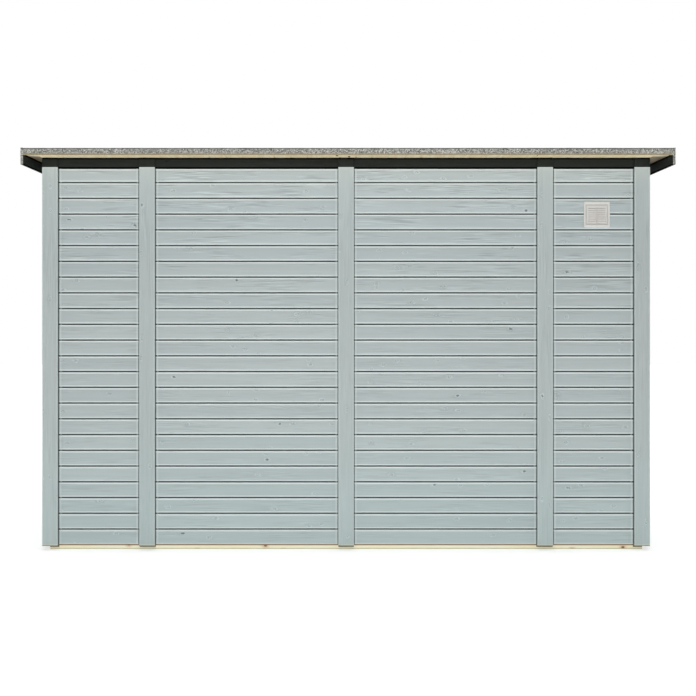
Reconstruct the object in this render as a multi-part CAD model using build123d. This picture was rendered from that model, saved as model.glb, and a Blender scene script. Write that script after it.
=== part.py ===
from build123d import *
import math
import os

# Timber garden shed with a low-pitched felt roof. Millimetres, +Z up, the ground at Z 0.
# The blank rear wall with the vent looks along -Y. The front wall with the doors looks along +Y.
# The origin lies on the ground under the middle of the roof.

# Walls, over the outer faces of the cover strips
wall_length = 3523
wall_depth = 2366
wall_shift = -11  # the roof sits this far to the right of the walls
board_thick = 18
strip_thick = 18
strip_wide = 90
stud = 45
strip_foot = 24
board_foot = 33
joint_gap = 2
element_wide = 1154

# Floor
joist_high = 60
joist_wide = 45
joist_count = 7
floor_thick = 18

# Roof, the deck's underside passes through this height at the rear face of the walls
eave_height = 2275
roof_pitch = 2.5
eave_overhang = 140
roof_half_length = 1851
deck_thick = 28
felt_thick = 7
felt_drip = 6  # the turned-down edges of the felt hang this far below the deck
skirt_thick = 4
fascia_thick = 10
fascia_drop = 60
purlin_wide = 60
purlin_high = 120
purlin_count = 3

# Frieze under the eaves
frieze_thick = 12
frieze_high = 61
frieze_block_high = 55

# Vent in the rear wall
vent_x = 1456
vent_z = 1947
vent_side = 150
vent_hole = 112
vent_corner = 4
vent_rim_wide = 10
vent_rim_high = 16  # the rim is broader above and below than at its sides
vent_rim_deep = 9
vent_rim_round = 3
vent_plate_deep = 3
vent_field_wide = 116  # the raised panel that holds the louvres
vent_field_high = 104
vent_field_deep = 7
vent_field_round = 1
vent_bar_wide = 6
vent_bar_round = 0.8
louvre_count = 7
louvre_pitch = 12
louvre_drop = 5  # the louvres sit this far below the middle of the vent
louvre_thick = 2
louvre_long = 100
louvre_wide = 14
louvre_angle = 60

# Double door in the front wall
door_wide = 1500
door_head_z = 1952
door_gap = 4
jamb_thick = 28
sill_thick = 18
sill_nose = 25
sill_chamfer = 4
casing_joint = 1
ledge_wide = 90
ledge_thick = 18
ledge_inset = 30
meeting_strip_wide = 60
hinge_long = 300
hinge_wide = 38
hinge_plate = 55
hinge_thick = 4
hinge_inset = 75
knuckle_radius = 8
handle_plate_wide = 38
handle_plate_high = 220
handle_plate_thick = 4
handle_plate_corner = 6
keyhole_radius = 5
handle_z = 1050
handle_x = 78
lever_radius = 8
lever_long = 115
lever_stand_off = 45

# Derived planes
half_length = wall_length / 2
half_depth = wall_depth / 2
board_face_x = half_length - strip_thick
board_face_y = half_depth - strip_thick
frame_face_x = board_face_x - board_thick
frame_face_y = board_face_y - board_thick
inner_x = frame_face_x - stud
inner_y = frame_face_y - stud
floor_top = joist_high + floor_thick
slope = math.tan(math.radians(roof_pitch))
roof_half_depth = half_depth + eave_overhang
deck_half_length = roof_half_length - skirt_thick - fascia_thick


def deck_under(y):
    # Height of the deck's underside above a place y.
    return eave_height + (y + half_depth) * slope


def block(x0, x1, y0, y1, z0, z1):
    # A square-cut piece between two corners, placed with the walls.
    centre = Pos(wall_shift + (x0 + x1) / 2, (y0 + y1) / 2, (z0 + z1) / 2)
    return centre * Box(x1 - x0, y1 - y0, z1 - z0)


def prism(x0, x1, outline):
    # A side-on outline of (y, z) points, run along X.
    face = Plane.YZ.offset(x0) * Polygon(*outline, align=None)
    return extrude(face, amount=x1 - x0)


def rafter_cut(x0, x1, y0, y1, z0, drop=0):
    # A piece with a level foot whose top is cut to the roof's slope, drop below the deck.
    outline = [
        (y0, z0),
        (y1, z0),
        (y1, deck_under(y1) - drop),
        (y0, deck_under(y0) - drop),
    ]
    return prism(wall_shift + x0, wall_shift + x1, outline)


def sloped(x0, x1, y0, y1, low, high):
    # A piece that runs with the slope, its faces low and high above the deck's underside.
    outline = [
        (y0, deck_under(y0) + low),
        (y1, deck_under(y1) + low),
        (y1, deck_under(y1) + high),
        (y0, deck_under(y0) + high),
    ]
    return prism(x0, x1, outline)


def sloped_wall_piece(x0, x1, y0, y1, low, high):
    # The same, placed with the walls.
    return sloped(wall_shift + x0, wall_shift + x1, y0, y1, low, high)


def on_side(piece, side):
    # Turns a piece of the right wall into one of the left wall when side is -1.
    return piece if side > 0 else mirror(piece, about=Plane.YZ.offset(wall_shift))


def floor_bearers():
    depth = joist_wide
    rear = block(-frame_face_x, frame_face_x, -frame_face_y, -frame_face_y + depth, 0, joist_high)
    front = block(-frame_face_x, frame_face_x, frame_face_y - depth, frame_face_y, 0, joist_high)
    return [rear, front]


def floor_joists():
    run = frame_face_y - joist_wide
    step = (2 * frame_face_x - joist_wide) / (joist_count - 1)
    pieces = []
    for index in range(joist_count):
        left = -frame_face_x + index * step
        pieces.append(block(left, left + joist_wide, -run, run, 0, joist_high))
    return pieces


def floor_deck():
    return [block(-frame_face_x, frame_face_x, -frame_face_y, frame_face_y, joist_high, floor_top)]


def rear_joints():
    # The places along the rear wall where two wall elements meet.
    return [-element_wide, 0, element_wide]


def rear_panel(x0, x1):
    return rafter_cut(x0, x1, -board_face_y, -frame_face_y, board_foot)


def rear_wall_boards():
    edges = [-board_face_x] + rear_joints()
    gap = joint_gap / 2
    return [rear_panel(a + gap, b - gap) for a, b in zip(edges, edges[1:])]


def rear_vent_panel():
    panel = rear_panel(element_wide + joint_gap / 2, board_face_x)
    half = vent_hole / 2
    hole = block(vent_x - half, vent_x + half, -half_depth, -inner_y, vent_z - half, vent_z + half)
    return [panel - hole]


def side_wall_boards(side):
    gap = joint_gap / 2
    pieces = []
    for y0, y1 in [(-frame_face_y, -gap), (gap, frame_face_y)]:
        panel = rafter_cut(frame_face_x, board_face_x, y0, y1, board_foot)
        pieces.append(on_side(panel, side))
    return pieces


def front_wall_boards():
    opening = door_wide / 2 + jamb_thick
    y0 = frame_face_y
    y1 = board_face_y
    left = rafter_cut(-board_face_x, -opening, y0, y1, board_foot)
    right = rafter_cut(opening, board_face_x, y0, y1, board_foot)
    return [left, right]


def front_over_door_panel():
    opening = door_wide / 2 + jamb_thick - joint_gap
    return [rafter_cut(-opening, opening, frame_face_y, board_face_y, door_head_z + jamb_thick)]


def rear_wall_plates():
    foot = block(-frame_face_x, frame_face_x, -frame_face_y, -inner_y, floor_top, floor_top + stud)
    head = sloped_wall_piece(-frame_face_x, frame_face_x, -frame_face_y, -inner_y, -stud, 0)
    return [foot, head]


def front_wall_plates():
    opening = door_wide / 2 + jamb_thick + stud
    z1 = floor_top + stud
    left = block(-frame_face_x, -opening, inner_y, frame_face_y, floor_top, z1)
    right = block(opening, frame_face_x, inner_y, frame_face_y, floor_top, z1)
    head = sloped_wall_piece(-frame_face_x, frame_face_x, inner_y, frame_face_y, -stud, 0)
    return [left, right, head]


def side_wall_plates(side):
    # The head plate lies lower by a purlin, because the purlins bear on it.
    foot = block(inner_x, frame_face_x, -inner_y, inner_y, floor_top, floor_top + stud)
    low = -purlin_high - stud
    head = sloped_wall_piece(inner_x, frame_face_x, -inner_y, inner_y, low, -purlin_high)
    return [on_side(foot, side), on_side(head, side)]


def rear_wall_studs():
    # One stud at each edge of an element and one in the middle of each wide element.
    gap = joint_gap / 2
    lefts = [-frame_face_x, frame_face_x - stud]
    for joint in rear_joints():
        lefts += [joint - gap - stud, joint + gap]
    for middle in (-element_wide / 2, element_wide / 2):
        lefts.append(middle - stud / 2)
    z0 = floor_top + stud
    return [rafter_cut(x, x + stud, -frame_face_y, -inner_y, z0, stud) for x in sorted(lefts)]


def front_wall_studs():
    # The two studs beside the doors stand on the floor, the others on the foot plates.
    door_side = door_wide / 2 + jamb_thick
    middle = (door_side + stud + frame_face_x) / 2
    pieces = []
    for left, foot in [
        (frame_face_x - stud, floor_top + stud),
        (middle - stud / 2, floor_top + stud),
        (door_side, floor_top),
    ]:
        for x0 in (left, -left - stud):
            pieces.append(rafter_cut(x0, x0 + stud, inner_y, frame_face_y, foot, stud))
    return pieces


def side_wall_studs(side):
    gap = joint_gap / 2
    run = inner_y
    starts = [-run, -run / 2 - stud / 2, -gap - stud, gap, run / 2 - stud / 2, run - stud]
    z0 = floor_top + stud
    drop = stud + purlin_high
    pieces = []
    for y0 in starts:
        pieces.append(on_side(rafter_cut(inner_x, frame_face_x, y0, y0 + stud, z0, drop), side))
    return pieces


def rear_strip_places():
    corner = half_length - strip_wide / 2
    return [-corner] + rear_joints() + [corner]


def upright_strip(x, y0, y1):
    half = strip_wide / 2
    return rafter_cut(x - half, x + half, y0, y1, strip_foot, frieze_block_high)


def rear_cover_strips():
    return [upright_strip(x, -half_depth, -board_face_y) for x in rear_strip_places()]


def front_cover_strips():
    corner = half_length - strip_wide / 2
    return [upright_strip(x, board_face_y, half_depth) for x in (-corner, corner)]


def side_strip_spans():
    # The corner strips butt against the back of the strips on the long walls.
    corner = strip_wide - strip_thick
    return [
        (-board_face_y, -board_face_y + corner),
        (-strip_wide / 2, strip_wide / 2),
        (board_face_y - corner, board_face_y),
    ]


def side_cover_strips(side):
    pieces = []
    for y0, y1 in side_strip_spans():
        strip = rafter_cut(board_face_x, half_length, y0, y1, strip_foot, frieze_block_high)
        pieces.append(on_side(strip, side))
    return pieces


def long_frieze_boards(places, y0, y1):
    # Boards that fill the band between the blocks over the strips.
    half = strip_wide / 2
    pieces = []
    for a, b in zip(places, places[1:]):
        pieces.append(sloped_wall_piece(a + half, b - half, y0, y1, -frieze_high, 0))
    return pieces


def long_frieze_blocks(places, y0, y1):
    half = strip_wide / 2
    return [sloped_wall_piece(x - half, x + half, y0, y1, -frieze_block_high, 0) for x in places]


def rear_frieze_boards():
    face = board_face_y + frieze_thick
    return long_frieze_boards(rear_strip_places(), -face, -board_face_y)


def rear_frieze_blocks():
    return long_frieze_blocks(rear_strip_places(), -half_depth, -board_face_y)


def front_strip_places():
    corner = half_length - strip_wide / 2
    return [-corner, corner]


def front_frieze_board():
    face = board_face_y + frieze_thick
    return long_frieze_boards(front_strip_places(), board_face_y, face)


def front_frieze_blocks():
    return long_frieze_blocks(front_strip_places(), board_face_y, half_depth)


def side_frieze_boards(side):
    spans = side_strip_spans()
    face = board_face_x + frieze_thick
    pieces = []
    for (_, y0), (y1, _) in zip(spans, spans[1:]):
        piece = sloped_wall_piece(board_face_x, face, y0, y1, -frieze_high, 0)
        pieces.append(on_side(piece, side))
    return pieces


def side_frieze_blocks(side):
    pieces = []
    for y0, y1 in side_strip_spans():
        piece = sloped_wall_piece(board_face_x, half_length, y0, y1, -frieze_block_high, 0)
        pieces.append(on_side(piece, side))
    return pieces


def roof_purlins():
    # The purlins bear on the head plates of the side walls, their tops cut to the slope.
    step = 2 * inner_y / (purlin_count + 1)
    half = purlin_wide / 2
    seat = -purlin_high
    pieces = []
    for index in range(1, purlin_count + 1):
        y = -inner_y + index * step
        pieces.append(sloped_wall_piece(-frame_face_x, frame_face_x, y - half, y + half, seat, 0))
    return pieces


def roof_deck():
    run = roof_half_depth - skirt_thick
    return [sloped(-deck_half_length, deck_half_length, -run, run, 0, deck_thick)]


def side_fascia(side):
    run = roof_half_depth - skirt_thick
    x0 = deck_half_length
    board = sloped(x0, x0 + fascia_thick, -run, run, -fascia_drop, deck_thick)
    return [board if side > 0 else mirror(board, about=Plane.YZ)]


def roofing_felt():
    # The sheet on the deck and its two edges, turned down over the ends of the deck boards.
    top = deck_thick + felt_thick
    run = roof_half_depth
    x1 = roof_half_length - skirt_thick
    sheet = sloped(-x1, x1, -run, run, deck_thick, top)
    for y0, y1 in [(-run, -run + skirt_thick), (run - skirt_thick, run)]:
        sheet += sloped(-deck_half_length, deck_half_length, y0, y1, -felt_drip, deck_thick)
    return [sheet]


def side_felt_skirt(side):
    # The felt turned down over the outer face and round both ends of a fascia board.
    top = deck_thick + felt_thick
    run = roof_half_depth
    x1 = roof_half_length
    outer = sloped(x1 - skirt_thick, x1, -run, run, -fascia_drop, top)
    ends = []
    for y0, y1 in [(-run, -run + skirt_thick), (run - skirt_thick, run)]:
        ends.append(sloped(deck_half_length, x1 - skirt_thick, y0, y1, -fascia_drop, deck_thick))
    skirt = outer + ends[0] + ends[1]
    return [skirt if side > 0 else mirror(skirt, about=Plane.YZ)]


def vent_window_high():
    # The blades overlap, so the window is a little higher than their pitches together.
    return louvre_count * louvre_pitch + louvre_thick


def vent_plane(deep):
    # A plane on the vent, deep in front of the boards, looking out of the wall.
    origin = (wall_shift + vent_x, -board_face_y - deep, vent_z)
    return Plane(origin=origin, x_dir=(1, 0, 0), z_dir=(0, -1, 0))


def vent_frame():
    # A moulded plate with a raised, rounded rim, a sunk border, a raised field and an upright bar.
    plate = extrude(vent_plane(0) * RectangleRounded(vent_side, vent_side, vent_corner), vent_plate_deep)
    inner = Rectangle(vent_side - 2 * vent_rim_wide, vent_side - 2 * vent_rim_high)
    rim_face = RectangleRounded(vent_side, vent_side, vent_corner) - inner
    rim = extrude(vent_plane(0) * rim_face, vent_rim_deep)
    rim_plane = -board_face_y - vent_rim_deep
    rim = fillet(rim.edges().filter_by_position(Axis.Y, rim_plane, rim_plane), vent_rim_round)
    field = extrude(vent_plane(0) * Rectangle(vent_field_wide, vent_field_high), vent_field_deep)
    field_plane = -board_face_y - vent_field_deep
    field = fillet(field.edges().filter_by_position(Axis.Y, field_plane, field_plane), vent_field_round)
    window = Pos(0, -louvre_drop) * Rectangle(louvre_long, vent_window_high())
    body = plate + rim + field - extrude(vent_plane(0) * window, vent_field_deep)
    bar_face = Pos(0, -louvre_drop) * Rectangle(vent_bar_wide, vent_window_high() + vent_bar_wide)
    bar = extrude(vent_plane(vent_field_deep) * bar_face, vent_rim_deep - vent_field_deep)
    bar = fillet(bar.edges().filter_by_position(Axis.Y, rim_plane, rim_plane), vent_bar_round)
    return [body + bar]


def vent_louvres():
    # Blades that slope down and out, their lower edges level with the field, behind the upright bar.
    angle = math.radians(louvre_angle)
    reach = (louvre_wide * math.cos(angle) + louvre_thick * math.sin(angle)) / 2
    y = -board_face_y - vent_field_deep + reach
    pieces = []
    for index in range(louvre_count):
        z = vent_z - louvre_drop + (index - (louvre_count - 1) / 2) * louvre_pitch
        blade = Rot(louvre_angle, 0, 0) * Box(louvre_long, louvre_wide, louvre_thick)
        pieces.append(Pos(wall_shift + vent_x, y, z) * blade)
    return pieces


def door_jambs():
    half = door_wide / 2
    y0 = inner_y
    y1 = board_face_y
    left = block(-half - jamb_thick, -half, y0, y1, floor_top, door_head_z)
    right = block(half, half + jamb_thick, y0, y1, floor_top, door_head_z)
    return [left, right]


def door_head():
    half = door_wide / 2 + jamb_thick
    return [block(-half, half, inner_y, board_face_y, door_head_z, door_head_z + jamb_thick)]


def door_sill():
    half = door_wide / 2
    y1 = half_depth + sill_nose
    sill = block(-half, half, inner_y, y1, floor_top, floor_top + sill_thick)
    nose = sill.edges().filter_by(Axis.X).filter_by_position(Axis.Y, y1, y1)
    return [chamfer(nose, sill_chamfer)]


def door_casings():
    # Boards round the opening, the head piece butted between the uprights with a hairline joint.
    half = door_wide / 2 + door_gap
    top = door_head_z + strip_wide
    y0 = board_face_y
    left = block(-half - strip_wide, -half, y0, half_depth, strip_foot, top)
    right = block(half, half + strip_wide, y0, half_depth, strip_foot, top)
    reach = half - casing_joint
    head = block(-reach, reach, y0, half_depth, door_head_z + door_gap, top)
    return [left, right, head]


def leaf_span():
    # The near and far edge of one leaf, measured from the middle of the doorway.
    return door_gap / 2, door_wide / 2 - door_gap


def door_leaves():
    near, far = leaf_span()
    z0 = floor_top + sill_thick + door_gap
    z1 = door_head_z - door_gap
    left = block(-far, -near, frame_face_y, board_face_y, z0, z1)
    right = block(near, far, frame_face_y, board_face_y, z0, z1)
    meeting = block(
        -meeting_strip_wide / 2 + near,
        meeting_strip_wide / 2 + near,
        board_face_y,
        half_depth,
        z0,
        z1,
    )
    return [left, right + meeting]


def door_ledges():
    # Three ledges across the back of each leaf.
    near, far = leaf_span()
    z0 = floor_top + sill_thick + door_gap
    z1 = door_head_z - door_gap
    places = [z0 + ledge_inset, (z0 + z1 - ledge_wide) / 2, z1 - ledge_inset - ledge_wide]
    y0 = frame_face_y - ledge_thick
    pieces = []
    for z in places:
        ledge = block(near + ledge_inset, far - ledge_inset, y0, frame_face_y, z, z + ledge_wide)
        pieces += [on_side(ledge, -1), ledge]
    return pieces


def hinge(side, z):
    # A strap on the leaf, a knuckle at the gap and a plate on the casing.
    far = door_wide / 2
    casing = half_depth
    leaf_face = board_face_y
    low = z - hinge_wide / 2
    high = z + hinge_wide / 2
    strap = block(far - hinge_long, far, leaf_face, leaf_face + hinge_thick, low, high)
    knuckle_y = casing + knuckle_radius
    knuckle = Pos(wall_shift + far, knuckle_y, z) * Cylinder(knuckle_radius, hinge_wide)
    neck = block(far - hinge_thick, far, leaf_face, knuckle_y, low, high)
    plate_x = far + door_gap
    plate = block(plate_x, far + hinge_plate, casing, casing + hinge_thick, z - hinge_wide, z + hinge_wide)
    return on_side(strap + neck + knuckle + plate, side)


def door_hinges():
    z0 = floor_top + sill_thick + door_gap
    z1 = door_head_z - door_gap
    middle = (z0 + z1) / 2
    pieces = []
    for z in (z0 + hinge_inset, middle, z1 - hinge_inset):
        for side in (-1, 1):
            pieces.append(hinge(side, z))
    return pieces


def door_handle():
    # A long plate with a lever on a short neck, and a keyhole under it.
    y = board_face_y
    plane = Plane(origin=(wall_shift + handle_x, y, handle_z), x_dir=(1, 0, 0), z_dir=(0, 1, 0))
    face = RectangleRounded(handle_plate_wide, handle_plate_high, handle_plate_corner)
    plate = extrude(plane * face, handle_plate_thick)
    quarter = handle_plate_high / 4
    lever_z = handle_z + quarter
    neck = Pos(wall_shift + handle_x, y + lever_stand_off / 2, lever_z)
    neck = neck * Rot(90, 0, 0) * Cylinder(lever_radius, lever_stand_off)
    grip = Pos(wall_shift + handle_x + lever_long / 2, y + lever_stand_off, lever_z)
    grip = grip * Rot(0, 90, 0) * Cylinder(lever_radius, lever_long)
    elbow = Pos(wall_shift + handle_x, y + lever_stand_off, lever_z) * Sphere(lever_radius)
    keyhole = Pos(wall_shift + handle_x, y + handle_plate_thick / 2, handle_z - quarter)
    keyhole = keyhole * Rot(90, 0, 0) * Cylinder(keyhole_radius, handle_plate_thick)
    return [plate - keyhole + neck + grip + elbow]


nodes = {
    "floor_bearers": floor_bearers(),
    "floor_joists": floor_joists(),
    "floor_boards": floor_deck(),
    "rear_wall_boards": rear_wall_boards(),
    "rear_vent_panel": rear_vent_panel(),
    "left_wall_boards": side_wall_boards(-1),
    "right_wall_boards": side_wall_boards(1),
    "front_wall_boards": front_wall_boards(),
    "front_over_door_panel": front_over_door_panel(),
    "rear_wall_plates": rear_wall_plates(),
    "front_wall_plates": front_wall_plates(),
    "left_wall_plates": side_wall_plates(-1),
    "right_wall_plates": side_wall_plates(1),
    "rear_wall_studs": rear_wall_studs(),
    "front_wall_studs": front_wall_studs(),
    "left_wall_studs": side_wall_studs(-1),
    "right_wall_studs": side_wall_studs(1),
    "rear_cover_strips": rear_cover_strips(),
    "front_cover_strips": front_cover_strips(),
    "left_cover_strips": side_cover_strips(-1),
    "right_cover_strips": side_cover_strips(1),
    "rear_frieze_boards": rear_frieze_boards(),
    "rear_frieze_blocks": rear_frieze_blocks(),
    "front_frieze_board": front_frieze_board(),
    "front_frieze_blocks": front_frieze_blocks(),
    "left_frieze_boards": side_frieze_boards(-1),
    "right_frieze_boards": side_frieze_boards(1),
    "left_frieze_blocks": side_frieze_blocks(-1),
    "right_frieze_blocks": side_frieze_blocks(1),
    "roof_purlins": roof_purlins(),
    "roof_deck": roof_deck(),
    "roofing_felt": roofing_felt(),
    "left_fascia": side_fascia(-1),
    "right_fascia": side_fascia(1),
    "left_felt_skirt": side_felt_skirt(-1),
    "right_felt_skirt": side_felt_skirt(1),
    "vent_frame": vent_frame(),
    "vent_louvres": vent_louvres(),
    "door_jambs": door_jambs(),
    "door_head": door_head(),
    "door_sill": door_sill(),
    "door_casings": door_casings(),
    "door_leaves": door_leaves(),
    "door_ledges": door_ledges(),
    "door_hinges": door_hinges(),
    "door_handle": door_handle(),
}

os.makedirs("parts", exist_ok=True)
for name, solids in nodes.items():
    shape = solids[0] if len(solids) == 1 else Compound(children=solids)
    export_step(shape, f"parts/{name}.step")
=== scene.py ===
import math
import random

import bmesh
import bpy
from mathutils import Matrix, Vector


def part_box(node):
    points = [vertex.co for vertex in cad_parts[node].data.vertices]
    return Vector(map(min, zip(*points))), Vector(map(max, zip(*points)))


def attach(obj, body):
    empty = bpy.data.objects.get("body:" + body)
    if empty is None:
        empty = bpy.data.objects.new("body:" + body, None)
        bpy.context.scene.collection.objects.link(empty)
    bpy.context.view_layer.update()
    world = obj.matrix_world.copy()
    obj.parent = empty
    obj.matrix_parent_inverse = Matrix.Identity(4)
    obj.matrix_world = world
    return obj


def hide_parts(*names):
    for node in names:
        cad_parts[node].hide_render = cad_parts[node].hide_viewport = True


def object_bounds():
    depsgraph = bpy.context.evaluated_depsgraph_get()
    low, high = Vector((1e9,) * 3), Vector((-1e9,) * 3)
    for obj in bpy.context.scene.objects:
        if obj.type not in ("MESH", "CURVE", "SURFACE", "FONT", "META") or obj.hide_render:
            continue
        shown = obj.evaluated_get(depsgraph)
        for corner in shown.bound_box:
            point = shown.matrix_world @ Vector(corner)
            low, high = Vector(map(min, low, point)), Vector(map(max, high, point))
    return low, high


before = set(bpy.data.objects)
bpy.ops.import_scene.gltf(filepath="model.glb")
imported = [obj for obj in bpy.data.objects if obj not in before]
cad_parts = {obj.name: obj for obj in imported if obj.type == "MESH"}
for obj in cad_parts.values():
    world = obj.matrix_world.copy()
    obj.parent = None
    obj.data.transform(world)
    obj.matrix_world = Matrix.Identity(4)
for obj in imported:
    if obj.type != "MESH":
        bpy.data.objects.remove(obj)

# Timber garden shed, metres. The blank rear wall with the vent looks along -Y.
cadLow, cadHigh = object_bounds()
scene = bpy.context.scene
scene.view_settings.view_transform = "Standard"

# Boxes that several pieces share, read from the frame
stripLow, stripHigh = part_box("rear_cover_strips")
rearLow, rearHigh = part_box("rear_wall_boards")
deckLow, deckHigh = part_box("roof_deck")
feltLow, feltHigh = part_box("roofing_felt")
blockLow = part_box("rear_frieze_blocks")[0]
bandLow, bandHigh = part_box("rear_frieze_boards")
ventLow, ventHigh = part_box("vent_frame")
jambLow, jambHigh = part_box("door_jambs")

middleX = (stripLow.x + stripHigh.x) / 2
outerX = stripHigh.x - middleX
boardThick = rearHigh.y - rearLow.y
stripThick = rearLow.y - stripLow.y
deckThick = 0.028
slope = (deckHigh.z - deckThick - deckLow.z) / (deckHigh.y - deckLow.y)
feltThick = feltHigh.z - deckHigh.z - (feltHigh.y - deckHigh.y) * slope


def deckUnder(y):
    return deckLow.z + (y - deckLow.y) * slope


blockTall = deckUnder(blockLow.y) - blockLow.z
bandTall = deckUnder(bandLow.y) - bandLow.z
bandThick = bandHigh.y - bandLow.y


# Hand tools: primitives, picking and the usual edit mode steps

def deselectAll():
    if bpy.context.object and bpy.context.object.mode != "OBJECT":
        bpy.ops.object.mode_set(mode="OBJECT")
    bpy.ops.object.select_all(action="DESELECT")


def makeActive(piece):
    deselectAll()
    piece.select_set(True)
    bpy.context.view_layer.objects.active = piece


def settle(name):
    # Names the new primitive and puts its place and size into its mesh.
    piece = bpy.context.object
    piece.name = name
    piece.data.name = name
    makeActive(piece)
    bpy.ops.object.transform_apply(location=True, rotation=True, scale=True)
    return piece


def addBlock(name, low, high):
    deselectAll()
    low = Vector(low)
    high = Vector(high)
    bpy.ops.mesh.primitive_cube_add(size=1, location=(low + high) / 2)
    bpy.context.object.scale = high - low
    return settle(name)


def addDisc(name, sides, radius, thick, middleZ=0.0):
    deselectAll()
    bpy.ops.mesh.primitive_cylinder_add(
        vertices=sides, radius=radius, depth=thick, location=(0, 0, middleZ)
    )
    return settle(name)


def editing(piece, kind="FACE", whole=False):
    makeActive(piece)
    bpy.ops.object.mode_set(mode="EDIT")
    bpy.ops.mesh.select_mode(type=kind)
    bpy.ops.mesh.select_all(action="SELECT" if whole else "DESELECT")


def doneEditing():
    bpy.ops.object.mode_set(mode="OBJECT")


def pickFaces(piece, test):
    mesh = bmesh.from_edit_mesh(piece.data)
    for face in mesh.faces:
        face.select_set(bool(test(face.calc_center_median(), face.normal)))
    mesh.select_flush_mode()


def pickEdges(piece, test):
    mesh = bmesh.from_edit_mesh(piece.data)
    for edge in mesh.edges:
        a, b = edge.verts
        edge.select_set(bool(test((a.co + b.co) / 2, (b.co - a.co).normalized())))
    mesh.select_flush_mode()


def pullOut(step):
    bpy.ops.mesh.extrude_region_move(TRANSFORM_OT_translate={"value": step})


def copyOn(step):
    bpy.ops.mesh.duplicate_move(TRANSFORM_OT_translate={"value": step})


def easeEdges(piece, offset, test, segments=2):
    # Rounds the edges that pass the test.
    editing(piece, "EDGE")
    pickEdges(piece, test)
    bpy.ops.mesh.bevel(offset=offset, segments=segments, affect="EDGES", clamp_overlap=True)
    doneEditing()


def cutEdges(piece, test, cuts):
    editing(piece, "EDGE")
    pickEdges(piece, test)
    bpy.ops.mesh.subdivide(number_cuts=cuts)
    doneEditing()


def cutOff(piece, point, normal):
    # Saws the piece along a plane, drops what lies on the side of the normal and closes the cut.
    editing(piece, whole=True)
    bpy.ops.mesh.bisect(plane_co=point, plane_no=normal, use_fill=True, clear_outer=True)
    doneEditing()


def sawToRoof(piece, drop=0.0):
    cutOff(piece, (0, 0, deckUnder(0) - drop), (0, -slope, 1))


def liftFront(piece, pivotY):
    # Turns a level piece to the roof's slope, its upright faces stay upright.
    for point in piece.data.vertices:
        point.co.z += (point.co.y - pivotY) * slope


def joinPieces(pieces, name):
    makeActive(pieces[0])
    for piece in pieces:
        piece.select_set(True)
    bpy.ops.object.join()
    whole = bpy.context.object
    whole.name = name
    whole.data.name = name
    return whole


def finishPiece(piece, material, replaced=(), smooth=35):
    editing(piece, whole=True)
    bpy.ops.mesh.normals_make_consistent(inside=False)
    doneEditing()
    makeActive(piece)
    bpy.ops.object.shade_smooth_by_angle(angle=math.radians(smooth))
    piece.data.materials.clear()
    piece.data.materials.append(material)
    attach(piece, "root")
    if replaced:
        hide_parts(*replaced)


# Shader nodes

class shadeValue:
    # What a node gives at each place. Sums and products of such values add math nodes.
    def __init__(self, socket):
        self.socket = socket
        self.tree = socket.id_data

    def __add__(self, other):
        return mathNode("ADD", self, other)

    def __sub__(self, other):
        return mathNode("SUBTRACT", self, other)

    def __rsub__(self, other):
        return mathNode("SUBTRACT", other, self)

    def __mul__(self, other):
        return mathNode("MULTIPLY", self, other)


def feed(node, inputs):
    # Gives sockets their numbers and colours, or links them to what other nodes give.
    for key, value in inputs.items():
        if isinstance(value, shadeValue):
            value.tree.links.new(value.socket, node.inputs[key])
        else:
            node.inputs[key].default_value = value


def addNode(kind, inputs, tree=None, **settings):
    # Adds a node to the tree of the values that feed it, or to the tree given.
    if tree is None:
        tree = next(value.tree for value in inputs.values() if isinstance(value, shadeValue))
    node = tree.nodes.new("ShaderNode" + kind)
    for key, value in settings.items():
        setattr(node, key, value)
    feed(node, inputs)
    return node


def given(node, name=0):
    return shadeValue(node.outputs[name])


def newMaterial(name):
    material = bpy.data.materials.new(name)
    material.use_nodes = True
    tree = material.node_tree
    tree.nodes.clear()
    shader = addNode("BsdfPrincipled", {}, tree)
    addNode("OutputMaterial", {"Surface": given(shader, "BSDF")})
    place = given(addNode("TexCoord", {}, tree), "Object")
    return material, shader, place


def coat(shader, color, roughness, relief, strength, deep, gloss=0.5):
    # The finish: its colour, how rough and glossy it is, and the bump of its relief.
    bump = addNode("Bump", {"Height": relief, "Strength": strength, "Distance": deep})
    finish = {"Base Color": color, "Roughness": roughness, "Specular IOR Level": gloss}
    feed(shader, {**finish, "Normal": given(bump)})


def mathNode(operation, *values, clamp=False):
    inputs = dict(enumerate(values))
    return given(addNode("Math", inputs, operation=operation, use_clamp=clamp))


def vectorNode(operation, *values):
    return given(addNode("VectorMath", dict(enumerate(values)), operation=operation))


def stretched(vector, scales):
    return vectorNode("MULTIPLY", vector, scales)


def absolute(value):
    return mathNode("ABSOLUTE", value)


def smallest(values):
    least = values[0]
    for value in values[1:]:
        least = mathNode("MINIMUM", least, value)
    return least


def axisOf(vector, axis):
    return given(addNode("SeparateXYZ", {"Vector": vector}), axis)


def rangeNode(value, fromLow, fromHigh, toLow=0.0, toHigh=1.0):
    span = {"From Min": fromLow, "From Max": fromHigh, "To Min": toLow, "To Max": toHigh}
    inputs = {"Value": value, **span}
    return given(addNode("MapRange", inputs, interpolation_type="SMOOTHSTEP"), "Result")


def mixColor(share, a, b, blend="MIX"):
    inputs = {"Factor": share, 6: a, 7: b}
    return given(addNode("Mix", inputs, data_type="RGBA", blend_type=blend), 2)


def layered(color, *layers):
    # Lays tones over a colour, one after the other. Each is (share, tone).
    for share, tone in layers:
        color = mixColor(share, color, tone)
    return color


def noiseNode(vector, scale, detail=3.0, rough=0.55, twist=0.0):
    inputs = {"Scale": scale, "Detail": detail, "Roughness": rough, "Distortion": twist}
    inputs["Vector"] = vector
    return given(addNode("TexNoise", inputs, noise_dimensions="3D"), "Fac")


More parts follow.
